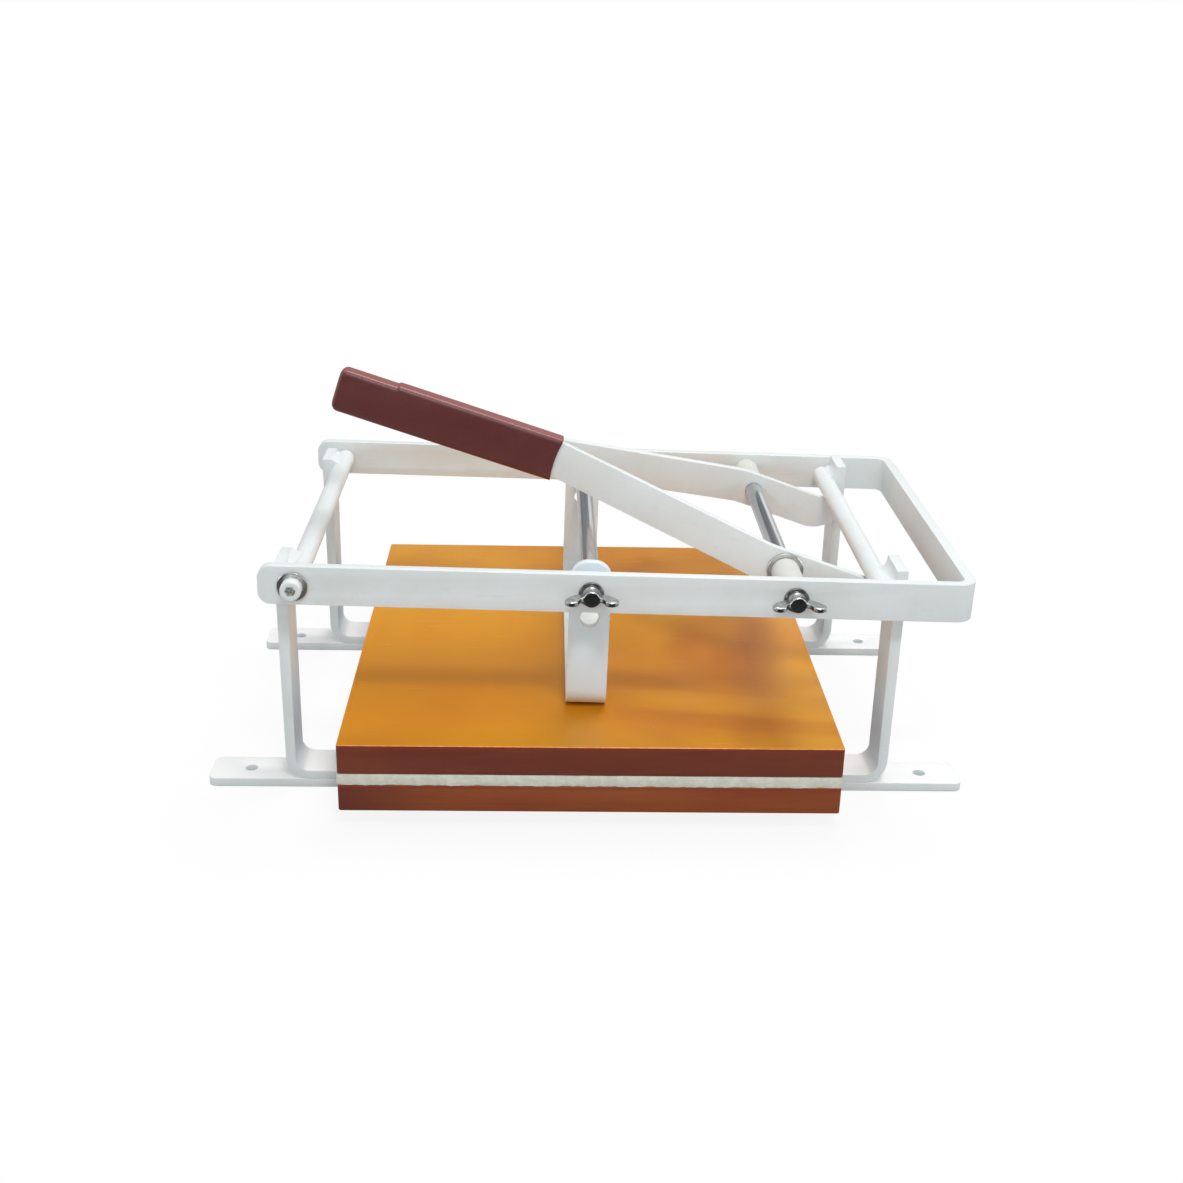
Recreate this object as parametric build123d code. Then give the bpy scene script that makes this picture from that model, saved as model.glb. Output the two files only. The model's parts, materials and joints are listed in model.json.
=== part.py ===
"""A bench relief printing press: a swinging flat-bar frame, a forked hand lever and two boards.

X runs to the right, Y to the back and Z up, in millimetres. The origin is the middle of the
four bench bolt holes, on the bench. The press stands at rest with its pressing foot just
above the upper board and the tails of the lever against the right cross rod.
"""
from build123d import *
from math import asin, cos, degrees, radians, sin, tan
import os

# Fits and clearances
running_fit = 0.05
flat_play = 0.10
bolt_play = 0.20

# Foot bars, which bolt to the bench
foot_bar_length = 500.0
foot_bar_width = 30.0
foot_bar_thick = 6.0
foot_bar_corner = 5.0
foot_bar_spacing = 220.0
bench_hole_inset = 26.0
bench_hole_diameter = 8.0

# Brackets, each a flat bar bent to a U that stands on a foot bar
bracket_width = 396.0
bracket_bar_thick = 6.0
bracket_height = 151.5
bracket_inner_bend = 9.0

# Cross rods and the weld beads that hold them to the legs
rod_diameter = 13.0
rod_below_leg_top = 9.5
right_rod_overhang = 0.0
bead_below_leg_top = 0.5
bead_hollow = 0.3
bead_end_gap = 1.0

# Swing frame, a flat bar bent to a U that lies flat round the brackets
rail_gap = 6.0
frame_bar_height = 25.0
frame_bar_thick = 7.0
frame_tail = 21.6
frame_end_gap = 36.1
frame_inner_bend = 6.0
frame_end_corner = 8.0
foot_shaft_from_pivot = 184.2
lever_shaft_from_pivot = 312.2

# Pivot hardware
screw_diameter = 8.0
screw_head_diameter = 13.0
screw_head_height = 8.0
screw_head_edge = 0.8
screw_socket_flats = 6.0
screw_socket_depth = 4.5
thread_depth = 15.0
drilled_past_thread = 2.0
pivot_bush_diameter = 12.0
pivot_washer_diameter = 19.0
pivot_washer_thick = 2.0

# Shafts, wing bolts and their washers
shaft_diameter = 12.0
wing_washer_diameter = 16.0
wing_washer_thick = 1.6
wing_hub_diameter = 12.0
wing_hub_end_diameter = 10.0
wing_hub_height = 8.5
wing_span = 33.0
wing_height = 16.5
wing_thick = 3.0
wing_lobe_diameter = 8.4
wing_edge = 1.0
wing_tip_gap = 0.5

# Lever, two flat-bar arms that meet in one grip
lever_tilt = 18.0
arm_height = 25.0
arm_thick = 6.0
arm_tail = 70.0
tail_droop = 1.4
arm_nose = 24.0
arm_bend_from_shaft = 11.5
arm_splay = 28.7
arm_bend = 15.0
lever_washer_diameter = 24.0
lever_washer_thick = 2.5
spacer_diameter = 18.5
spacer_length = 42.4

# Grip, a dipped sleeve over both arms
grip_start = 157.0
grip_length = 157.0
grip_height = 30.5
grip_sag = 1.0
grip_width = 16.0
grip_edge = 1.75
grip_corner = 5.0
grip_end_wall = 3.0
grip_step_length = 40.0
grip_step = 1.0

# Pressing foot, a flat-bar strap that hangs on the foot shaft
strap_gap = 7.0
strap_width = 26.0
strap_thick = 6.0
strap_height = 102.0
strap_shaft_height = 86.7
strap_spare_hole_drop = 22.5
strap_inner_bend = 7.5
strap_end_corner = 11.0

# Boards and the felt blanket between them
board_side_gap = 34.0
board_depth = 359.2
board_shift = 3.2
lower_board_thick = 18.0
felt_thick = 8.0
upper_board_thick = 20.0
board_edge = 1.0

# Heights and places that follow from the sizes above
bracket_floor = foot_bar_thick + bracket_bar_thick
leg_top = foot_bar_thick + bracket_height
rod_height = leg_top - rod_below_leg_top
rod_offset = bracket_width / 2 - bracket_bar_thick - rod_diameter / 2
bar_y = foot_bar_spacing / 2
felt_bottom = bracket_floor + lower_board_thick
upper_board_bottom = felt_bottom + felt_thick
board_top = upper_board_bottom + upper_board_thick
strap_bottom = board_top + flat_play
foot_shaft_height = strap_bottom + strap_shaft_height
frame_tilt = degrees(asin((rod_height - foot_shaft_height) / foot_shaft_from_pivot))
strap_lean_rise = strap_width / 2 * sin(radians(frame_tilt))
strap_hole_height = (strap_shaft_height - strap_lean_rise) / cos(radians(frame_tilt))
rail_inner = bar_y + foot_bar_width / 2 + rail_gap
rail_outer = rail_inner + frame_bar_thick
frame_reach = rod_offset + bracket_width / 2 + frame_end_gap + frame_bar_thick
arm_outer = rail_inner - spacer_length - lever_washer_thick - flat_play
arm_inner = arm_outer - arm_thick
strap_half = rail_inner - strap_gap
wing_thread_depth = strap_gap - wing_tip_gap
board_length = bracket_width - 2 * (bracket_bar_thick + board_side_gap)
hole_in_shaft = screw_diameter / 2 + running_fit


def on_frame(along):
    """The place on the tilted frame that lies this far from its pivot."""
    tilt = radians(frame_tilt)
    return Pos(-rod_offset + along * cos(tilt), 0, rod_height - along * sin(tilt))


def right_rod_place():
    """The right rod lies on the tails of the lever, beside the legs."""
    shaft = on_frame(lever_shaft_from_pivot).position
    lean = radians(lever_tilt + tail_droop)
    clear = arm_height / 2 + rod_diameter / 2 + flat_play
    rise = (clear - sin(lean) * (rod_offset - shaft.X)) / cos(lean)
    return Pos(rod_offset, 0, shaft.Z + rise)


def y_rod(radius, start, stop):
    """A round bar along Y between two places."""
    turned = Plane(origin=(0, start, 0), x_dir=(1, 0, 0), z_dir=(0, 1, 0))
    return extrude(turned * Circle(radius), amount=stop - start)


def y_ring(outer, inner, start, stop):
    """A washer, bush or spacer along Y between two places."""
    turned = Plane(origin=(0, start, 0), x_dir=(1, 0, 0), z_dir=(0, 1, 0))
    return extrude(turned * (Circle(outer) - Circle(inner)), amount=stop - start)


def rear_of(shape):
    """The matching shape on the rear side of the press."""
    return mirror(shape, about=Plane.XZ)


def bent_bar(corners, inner_radius, thickness, width):
    """A flat bar bent round these corners, which lie on its outer face, inside on the left."""
    outer_radius = inner_radius + thickness
    outer = FilletPolyline(*corners, radius=outer_radius)
    region = offset(outer, amount=thickness, side=Side.LEFT)
    return extrude(make_face(region.edges()), amount=width / 2, both=True)


def make_foot_bar():
    outline = RectangleRounded(foot_bar_length, foot_bar_width, foot_bar_corner)
    hole_x = foot_bar_length / 2 - bench_hole_inset
    holes = Locations((-hole_x, 0), (hole_x, 0))
    for place in holes:
        outline -= place * Circle(bench_hole_diameter / 2)
    return Pos(0, -bar_y, 0) * extrude(outline, amount=foot_bar_thick)


def make_bracket():
    half = bracket_width / 2
    corners = [(-half, bracket_height), (-half, 0), (half, 0), (half, bracket_height)]
    bar = bent_bar(corners, bracket_inner_bend, bracket_bar_thick, foot_bar_width)
    return Pos(0, -bar_y, foot_bar_thick) * Rot(90, 0, 0) * bar


def make_left_rod():
    half = rail_inner - flat_play
    rod = y_rod(rod_diameter / 2, -half, half)
    bore = y_rod(hole_in_shaft, -half, -half + thread_depth + drilled_past_thread)
    return Pos(-rod_offset, 0, rod_height) * (rod - bore - rear_of(bore))


def make_right_rod():
    half = bar_y + foot_bar_width / 2 + right_rod_overhang
    return right_rod_place() * y_rod(rod_diameter / 2, -half, half)


def make_bead(height):
    """A hollow bead from a rod at this height up to the top of the front leg, on the right."""
    leg_face = bracket_width / 2 - bracket_bar_thick
    rod_top = height + rod_diameter / 2
    climb = leg_top - bead_below_leg_top - rod_top
    section = Polygon(
        (rod_offset, rod_top),
        (leg_face - bead_hollow * rod_diameter / 2, rod_top + bead_hollow * climb),
        (leg_face, rod_top + climb),
        (leg_face, height),
        align=None,
    )
    section -= Pos(rod_offset, height) * Circle(rod_diameter / 2)
    half = foot_bar_width / 2 - bead_end_gap
    return Pos(0, -bar_y, 0) * extrude(Plane.XZ * section, amount=half, both=True)


def make_rod_welds():
    """One bead in the notch above each rod where it meets each leg."""
    right = make_bead(right_rod_place().position.Z)
    left = mirror(make_bead(rod_height), about=Plane.YZ)
    return Compound(children=[right, left, rear_of(right), rear_of(left)])


def make_pivot_screw():
    head_start = rail_outer + 2 * flat_play + pivot_washer_thick
    stem_end = rail_inner - flat_play - thread_depth
    head = y_rod(screw_head_diameter / 2, -head_start - screw_head_height, -head_start)
    head = chamfer(head.faces().sort_by(Axis.Y)[0].edges(), screw_head_edge)
    mouth = Plane(
        origin=(0, -head_start - screw_head_height, 0), x_dir=(1, 0, 0), z_dir=(0, 1, 0)
    )
    hexagon = RegularPolygon(screw_socket_flats / 2, 6, major_radius=False)
    head -= extrude(mouth * hexagon, amount=screw_socket_depth)
    stem = y_rod(screw_diameter / 2, -head_start, -stem_end)
    return Pos(-rod_offset, 0, rod_height) * (head + stem)


def make_pivot_washer():
    start = rail_outer + 2 * flat_play
    bore = screw_diameter / 2 + bolt_play
    ring = y_ring(pivot_washer_diameter / 2, bore, -start - pivot_washer_thick, -start)
    return Pos(-rod_offset, 0, rod_height) * ring


def make_pivot_bush():
    """A bush clamped between washer and rod end, a little longer than the bar is thick."""
    outside = rail_outer + 2 * flat_play
    inside = rail_inner - flat_play
    bore = screw_diameter / 2 + bolt_play
    ring = y_ring(pivot_bush_diameter / 2, bore, -outside, -inside)
    return Pos(-rod_offset, 0, rod_height) * ring


def make_swing_frame():
    corners = [
        (-frame_tail, -rail_outer),
        (frame_reach, -rail_outer),
        (frame_reach, rail_outer),
        (-frame_tail, rail_outer),
    ]
    bar = bent_bar(corners, frame_inner_bend, frame_bar_thick, frame_bar_height)
    ends = bar.edges().filter_by(Axis.Y).group_by(Axis.X)[0]
    bar = fillet(ends, frame_end_corner)
    pivot_hole = pivot_bush_diameter / 2 + running_fit
    bar -= y_rod(pivot_hole, -rail_outer, rail_outer)
    for along in (foot_shaft_from_pivot, lever_shaft_from_pivot):
        bar -= Pos(along, 0, 0) * y_rod(screw_diameter / 2 + bolt_play, -rail_outer, rail_outer)
    return on_frame(0) * Rot(0, frame_tilt, 0) * bar


def make_shaft(along):
    """A shaft bored at both ends for wing bolts, whose tips stop short of the pressing foot."""
    shaft = y_rod(shaft_diameter / 2, -rail_inner, rail_inner)
    bore_end = -rail_inner + wing_thread_depth + drilled_past_thread
    bore = y_rod(hole_in_shaft, -rail_inner, bore_end)
    return on_frame(along) * (shaft - bore - rear_of(bore))


def make_wing_washers():
    bore = screw_diameter / 2 + bolt_play
    ring = y_ring(wing_washer_diameter / 2, bore, -rail_outer - wing_washer_thick, -rail_outer)
    placed = []
    for along in (foot_shaft_from_pivot, lever_shaft_from_pivot):
        placed += [on_frame(along) * ring, on_frame(along) * rear_of(ring)]
    return Compound(children=placed)


def make_wing_bolt(along):
    """A wing bolt on the front rail: a tapered hub, two rounded wings and a plain stem."""
    seat = rail_outer + wing_washer_thick + flat_play
    seat_plane = Plane(origin=(0, -seat, 0), x_dir=(1, 0, 0), z_dir=(0, -1, 0))
    hub_section = Polygon(
        (0, 0),
        (wing_hub_diameter / 2, 0),
        (wing_hub_end_diameter / 2, wing_hub_height),
        (0, wing_hub_height),
        align=None,
    )
    hub = revolve(Plane.XZ * hub_section, axis=Axis.Z)
    lobe_radius = wing_lobe_diameter / 2
    lobe = Pos(wing_span / 2 - lobe_radius, wing_height - lobe_radius) * Circle(lobe_radius)
    root = Pos(wing_hub_end_diameter / 4, wing_hub_height / 2) * Circle(wing_hub_height / 2)
    outline = make_hull([*lobe.edges(), *root.edges()])
    wing = extrude(Plane.XZ * outline, amount=wing_thick / 2, both=True)
    wing = chamfer(wing.faces().filter_by(Axis.Y).edges(), wing_edge / 2)
    head = hub + wing + mirror(wing, about=Plane.YZ)
    stem_length = seat - rail_inner + wing_thread_depth
    stem = Pos(0, 0, -stem_length) * Cylinder(
        screw_diameter / 2, stem_length, align=(Align.CENTER, Align.CENTER, Align.MIN)
    )
    return on_frame(along) * seat_plane.location * (head + stem)


def make_lever_washer():
    start = arm_outer + flat_play
    bore = shaft_diameter / 2 + running_fit
    ring = y_ring(lever_washer_diameter / 2, bore, -start - lever_washer_thick, -start)
    return on_frame(lever_shaft_from_pivot) * ring


def make_lever_spacer():
    start = arm_outer + flat_play + lever_washer_thick
    bore = shaft_diameter / 2 + running_fit
    ring = y_ring(spacer_diameter / 2, bore, -rail_inner, -start)
    return on_frame(lever_shaft_from_pivot) * ring


def place_lever(shape):
    return on_frame(lever_shaft_from_pivot) * Rot(0, lever_tilt, 0) * shape


def arm_side(arm_end):
    """The arm's side outline: straight from grip to shaft, then a tail that droops a little."""
    half = arm_height / 2
    droop = radians(tail_droop)
    kink = half * tan(droop / 2)
    tail = Vector(arm_tail * cos(droop), -arm_tail * sin(droop))
    across = Vector(half * sin(droop), half * cos(droop))
    low = tail - across
    high = tail + across
    return Polygon(
        (-arm_end, -half),
        (-kink, -half),
        (low.X, low.Y),
        (high.X, high.Y),
        (kink, half),
        (-arm_end, half),
        align=None,
    )


def make_lever_arm():
    """The front arm, along -X from the shaft: parallel, splayed inwards, then along the middle."""
    meet = arm_bend_from_shaft + arm_inner / tan(radians(arm_splay))
    arm_end = grip_start + grip_length - grip_end_wall
    corners = [
        (arm_tail + arm_thick, -arm_inner),
        (-arm_bend_from_shaft, -arm_inner),
        (-meet, 0),
        (-arm_end, 0),
    ]
    inner = FilletPolyline(*corners, radius=arm_bend)
    region = offset(inner, amount=arm_thick, side=Side.LEFT)
    bar = extrude(make_face(region.edges()), amount=arm_height, both=True)
    bar &= extrude(Plane.XZ * arm_side(arm_end), amount=arm_outer, both=True)
    nose = bar.edges().filter_by(Axis.Y).sort_by(Axis.X)[-2:].sort_by(Axis.Z)[0]
    bar = fillet(nose, arm_nose)
    bar -= y_rod(shaft_diameter / 2 + running_fit, -arm_outer, -arm_inner)
    return bar


def make_grip():
    """The dipped sleeve: rounded along its edges, closed at its far end, tight on both arms."""
    far_end = grip_start + grip_length
    step_start = far_end - grip_step_length
    low = -grip_height / 2 - grip_sag
    high = grip_height / 2 - grip_sag
    side = Polyline(
        (-grip_start, low),
        (-grip_start, high),
        (-step_start, high),
        (-step_start, high - grip_step),
        (-far_end, high - grip_step),
        (-far_end, low),
        close=True,
    )
    sleeve = extrude(Plane.XZ * make_face(side.edges()), amount=grip_width / 2, both=True)
    end_corners = sleeve.edges().filter_by(Axis.Y).group_by(Axis.X)[0]
    sleeve = fillet(end_corners, grip_corner)
    long_edges = sleeve.faces().filter_by(Axis.Y).edges()
    sleeve = chamfer(long_edges, grip_edge)
    inside = far_end - grip_end_wall
    core = Pos(-inside / 2, 0, 0) * Box(inside, 2 * arm_thick, arm_height)
    arm = make_lever_arm()
    return sleeve - core - arm - rear_of(arm)


def make_pressing_foot():
    """The strap, square to the tilted frame, so that the right edge of its floor is the lowest."""
    half = strap_half
    corners = [(-half, strap_height), (-half, 0), (half, 0), (half, strap_height)]
    strap = bent_bar(corners, strap_inner_bend, strap_thick, strap_width)
    strap = Rot(0, 0, 90) * Rot(90, 0, 0) * strap
    ends = strap.edges().filter_by(Axis.Y).group_by(Axis.Z)[-1]
    strap = fillet(ends, strap_end_corner)
    hole = y_rod(shaft_diameter / 2 + running_fit, -half, half)
    strap -= Pos(0, 0, strap_hole_height) * hole
    strap -= Pos(0, 0, strap_hole_height - strap_spare_hole_drop) * hole
    hung = Rot(0, frame_tilt, 0) * Pos(0, 0, -strap_hole_height) * strap
    return on_frame(foot_shaft_from_pivot) * hung


def make_board(thickness, bottom):
    slab = Box(board_length, board_depth, thickness, align=(Align.CENTER, Align.CENTER, Align.MIN))
    slab = chamfer(slab.faces().sort_by(Axis.Z)[-1].edges(), board_edge)
    return Pos(0, board_shift, bottom) * slab


def make_felt():
    slab = Box(board_length, board_depth, felt_thick, align=(Align.CENTER, Align.CENTER, Align.MIN))
    return Pos(0, board_shift, felt_bottom) * slab


front_and_rear = {
    "foot_bar": make_foot_bar(),
    "bracket": make_bracket(),
    "pivot_screw": make_pivot_screw(),
    "pivot_washer": make_pivot_washer(),
    "pivot_bush": make_pivot_bush(),
    "lever_washer": make_lever_washer(),
    "lever_spacer": make_lever_spacer(),
    "lever_arm": place_lever(make_lever_arm()),
    "foot_wing_bolt": make_wing_bolt(foot_shaft_from_pivot),
    "lever_wing_bolt": make_wing_bolt(lever_shaft_from_pivot),
}

parts = {
    "left_cross_rod": make_left_rod(),
    "right_cross_rod": make_right_rod(),
    "rod_welds": make_rod_welds(),
    "swing_frame": make_swing_frame(),
    "foot_shaft": make_shaft(foot_shaft_from_pivot),
    "lever_shaft": make_shaft(lever_shaft_from_pivot),
    "wing_washers": make_wing_washers(),
    "lever_grip": place_lever(make_grip()),
    "pressing_foot": make_pressing_foot(),
    "lower_board": make_board(lower_board_thick, bracket_floor),
    "felt_blanket": make_felt(),
    "upper_board": make_board(upper_board_thick, upper_board_bottom),
}

for name, shape in front_and_rear.items():
    parts["front_" + name] = shape
    parts["rear_" + name] = rear_of(shape)

os.makedirs("parts", exist_ok=True)
for name, shape in parts.items():
    export_step(shape, f"parts/{name}.step")
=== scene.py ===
"""The looks of a bench relief printing press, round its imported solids. Metres, X right, Y back, Z up."""
import json
import random
from math import atan2, ceil, cos, hypot, pi, radians, sin, sqrt

import bmesh
import bpy
from mathutils import Matrix, Vector


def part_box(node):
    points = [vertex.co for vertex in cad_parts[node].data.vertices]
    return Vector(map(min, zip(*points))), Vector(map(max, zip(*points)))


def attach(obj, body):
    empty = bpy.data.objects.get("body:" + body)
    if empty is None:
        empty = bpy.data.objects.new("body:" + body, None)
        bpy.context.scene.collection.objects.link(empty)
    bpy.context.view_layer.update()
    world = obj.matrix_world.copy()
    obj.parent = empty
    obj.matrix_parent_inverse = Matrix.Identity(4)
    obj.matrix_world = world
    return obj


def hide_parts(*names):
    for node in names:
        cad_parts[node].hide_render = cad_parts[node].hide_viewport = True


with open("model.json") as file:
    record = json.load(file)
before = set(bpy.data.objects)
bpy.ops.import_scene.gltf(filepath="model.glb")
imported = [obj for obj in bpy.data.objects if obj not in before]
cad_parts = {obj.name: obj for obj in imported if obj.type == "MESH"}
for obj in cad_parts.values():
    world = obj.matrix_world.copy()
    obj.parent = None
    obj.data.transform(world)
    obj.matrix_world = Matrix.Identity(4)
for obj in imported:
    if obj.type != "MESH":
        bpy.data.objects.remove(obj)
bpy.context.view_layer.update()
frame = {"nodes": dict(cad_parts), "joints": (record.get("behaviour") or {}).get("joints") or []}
nodes = frame["nodes"]
joint_at = {j["name"]: Vector(j["pos_m"]) for j in frame["joints"] if "pos_m" in j}
MM = 0.001

# Places that the joints give, and the lever's tilt at rest
pivot = joint_at["frame_swing"]
foot_shaft = joint_at["foot_swing"]
lever_shaft = joint_at["lever_swing"]
lever_tilt = radians(18.0)

# Rounding of edges and counts of facets
bar_edge = 0.6 * MM
bracket_edge = 0.5 * MM
small_edge = 0.25 * MM
rod_edges = {"left": 0.5 * MM, "right": 1.6 * MM}
shaft_edge = 0.3 * MM
edge_steps = 3
round_steps = 96

# Camera, as solved from the photograph
photo_pixels = 1183
camera_place = Vector((-31.363, -1016.671, 500.492)) * MM
camera_yaw = radians(-2.033)
camera_pitch = radians(22.416)
camera_roll = radians(-1.423)
focal_pixels = 1529.38
centre_pixel = (592.977, 604.536)
sensor_width = 36.0


def tone(red, green, blue):
    """A colour as it looks, 0 to 255, turned to the renderer's linear values."""
    linear = []
    for value in (red, green, blue):
        share = value / 255
        linear.append(share / 12.92 if share < 0.04045 else ((share + 0.055) / 1.055) ** 2.4)
    return (*linear, 1.0)


# Shader formulas


class Wire:
    """One output of a shader tree, so that maths on it reads as a formula."""

    def __init__(self, paint, socket):
        self.paint = paint
        self.socket = socket

    def maths(self, operation, *values, clamp=False):
        sockets = dict(enumerate(values))
        settings = {"operation": operation, "use_clamp": clamp}
        return self.paint.node("ShaderNodeMath", settings, sockets)

    def __add__(self, other):
        return self.maths("ADD", self, other)

    def __radd__(self, other):
        return self.maths("ADD", other, self)

    def __sub__(self, other):
        return self.maths("SUBTRACT", self, other)

    def __rsub__(self, other):
        return self.maths("SUBTRACT", other, self)

    def __mul__(self, other):
        return self.maths("MULTIPLY", self, other)

    def __rmul__(self, other):
        return self.maths("MULTIPLY", other, self)

    def __truediv__(self, other):
        return self.maths("DIVIDE", self, other)

    def __pow__(self, other):
        return self.maths("POWER", self, other)

    def size(self):
        return self.maths("ABSOLUTE", self)

    def clamped(self):
        return self.maths("ADD", self, 0.0, clamp=True)

    def step(self, low, high):
        """0 below low, 1 above high and a smooth rise between."""
        sockets = {"Value": self, "From Min": low, "From Max": high}
        return self.paint.node("ShaderNodeMapRange", {"interpolation_type": "SMOOTHSTEP"}, sockets)


class Paint:
    """A node tree of a material or of the world, built by name."""

    def __init__(self, owner):
        owner.use_nodes = True
        self.owner = owner
        self.tree = owner.node_tree
        self.tree.nodes.clear()

    def feed(self, socket, value):
        if isinstance(value, Wire):
            self.tree.links.new(value.socket, socket)
        else:
            socket.default_value = value

    def node(self, kind, settings=None, sockets=None, out=0):
        made = self.tree.nodes.new(kind)
        for name, value in (settings or {}).items():
            setattr(made, name, value)
        for name, value in (sockets or {}).items():
            self.feed(made.inputs[name], value)
        return Wire(self, made.outputs[out]) if len(made.outputs) else None

    def place(self):
        return self.node("ShaderNodeTexCoord", out="Object")

    def axes(self, vector):
        split = self.tree.nodes.new("ShaderNodeSeparateXYZ")
        self.feed(split.inputs[0], vector)
        return [Wire(self, split.outputs[axis]) for axis in "XYZ"]

    def facing(self):
        """The way a surface faces, in the piece's own axes."""
        return self.axes(self.node("ShaderNodeTexCoord", out="Normal"))

    def rays(self):
        """Whether a ray comes straight from the camera, and whether from a mirroring surface."""
        path = self.tree.nodes.new("ShaderNodeLightPath")
        return Wire(self, path.outputs["Is Camera Ray"]), Wire(self, path.outputs["Is Glossy Ray"])

    def stretched(self, vector, scale, turn=(0.0, 0.0, 0.0)):
        sockets = {"Vector": vector, "Scale": scale, "Rotation": turn}
        return self.node("ShaderNodeMapping", None, sockets)

    def noise(self, vector, scale, detail=2.0, rough=0.5):
        sockets = {"Vector": vector, "Scale": scale, "Detail": detail, "Roughness": rough}
        return self.node("ShaderNodeTexNoise", None, sockets)

    def cells(self, vector, scale):
        return self.node("ShaderNodeTexVoronoi", None, {"Vector": vector, "Scale": scale})

    def mix(self, factor, first, second):
        sockets = {0: factor, 6: first, 7: second}
        return self.node("ShaderNodeMix", {"data_type": "RGBA"}, sockets, out=2)

    def bump(self, height, depth):
        sockets = {"Height": height, "Distance": depth, "Strength": 1.0}
        return self.node("ShaderNodeBump", None, sockets)

    def surface(self, sockets):
        shader = self.node("ShaderNodeBsdfPrincipled", None, sockets)
        self.node("ShaderNodeOutputMaterial", None, {"Surface": shader})
        return self.owner


def new_paint(name):
    return Paint(bpy.data.materials.new(name))


# Finishes


def powder_white():
    """White powder coat: slight orange peel, a faint cloudy film and a few pale rubs.

    Painted light: tops near the floor are painted palest, and the legs' inner faces and the strap's front
    are painted a little cooler against the amber board's warm bounce light.
    """
    low_height = 20 * MM
    inside_height = 135 * MM
    strap_middle = -1 * MM
    strap_reach = 20 * MM
    strap_top = foot_shaft.z + 18 * MM
    behind_rail = -133 * MM
    paint = new_paint("powder_white")
    at = paint.place()
    peel = paint.noise(at, 620.0, 2.0, 0.45)
    fine = paint.noise(at, 2600.0, 1.0, 0.5)
    cloud = paint.noise(at, 26.0, 4.0, 0.6)
    rub = paint.noise(paint.stretched(at, (30.0, 90.0, 240.0)), 1.0, 5.0, 0.7).step(0.6, 0.72)
    base = paint.mix(cloud.step(0.35, 0.7), tone(234, 240, 241), tone(229, 235, 234))
    base = paint.mix(rub * 0.5, base, tone(221, 224, 220))
    x, y, height = paint.axes(at)
    facing = paint.facing()
    # Painted light: upward faces near the floor are painted palest.
    painted_light_low_top = facing[2].step(0.8, 0.95) * (low_height - height).step(0.0, 8 * MM)
    base = paint.mix(painted_light_low_top, base, tone(253, 254, 254))
    # Painted light: the legs' inner faces and the strap's front are painted cooler, against the amber
    # board's warm bounce.
    painted_cool_inner = (0.0 - facing[0] * x).step(0.12, 0.17) * (inside_height - height).step(0.0, 10 * MM)
    painted_cool_strap_front = (0.0 - facing[1]).step(0.8, 0.95)
    painted_cool_strap_front = painted_cool_strap_front * (strap_reach - (x - strap_middle).size()).step(0.0, 2 * MM)
    painted_cool_strap_front = painted_cool_strap_front * (y - behind_rail).step(-2 * MM, 2 * MM)
    painted_cool_strap_front = painted_cool_strap_front * (strap_top - height).step(0.0, 2 * MM)
    base = paint.mix((painted_cool_inner + painted_cool_strap_front).clamped() * 0.75, base, tone(229, 246, 255))
    return paint.surface({
        "Base Color": base,
        "Roughness": 0.34 + cloud * 0.1 + rub * 0.12,
        "Specular IOR Level": 0.45,
        "Coat Weight": 0.15,
        "Coat Roughness": 0.2,
        "Normal": paint.bump(peel * 0.8 + fine * 0.2, 0.12 * MM),
    })


def socket_shade_paint():
    """Mottled grey for the hexagon sockets of the pivot screws: painted shade of the recess, with pale
    spots.
    """
    paint = new_paint("socket_shade_paint")
    at = paint.place()
    spots = paint.noise(at, 900.0, 3.0, 0.6)
    # Painted shade: the recess is painted mid grey, with pale paint spots.
    base = paint.mix(spots.step(0.35, 0.65), tone(142, 145, 141), tone(238, 242, 239))
    return paint.surface({
        "Base Color": base,
        "Roughness": 0.3 + spots * 0.2,
        "Normal": paint.bump(spots, 0.2 * MM),
    })


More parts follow.
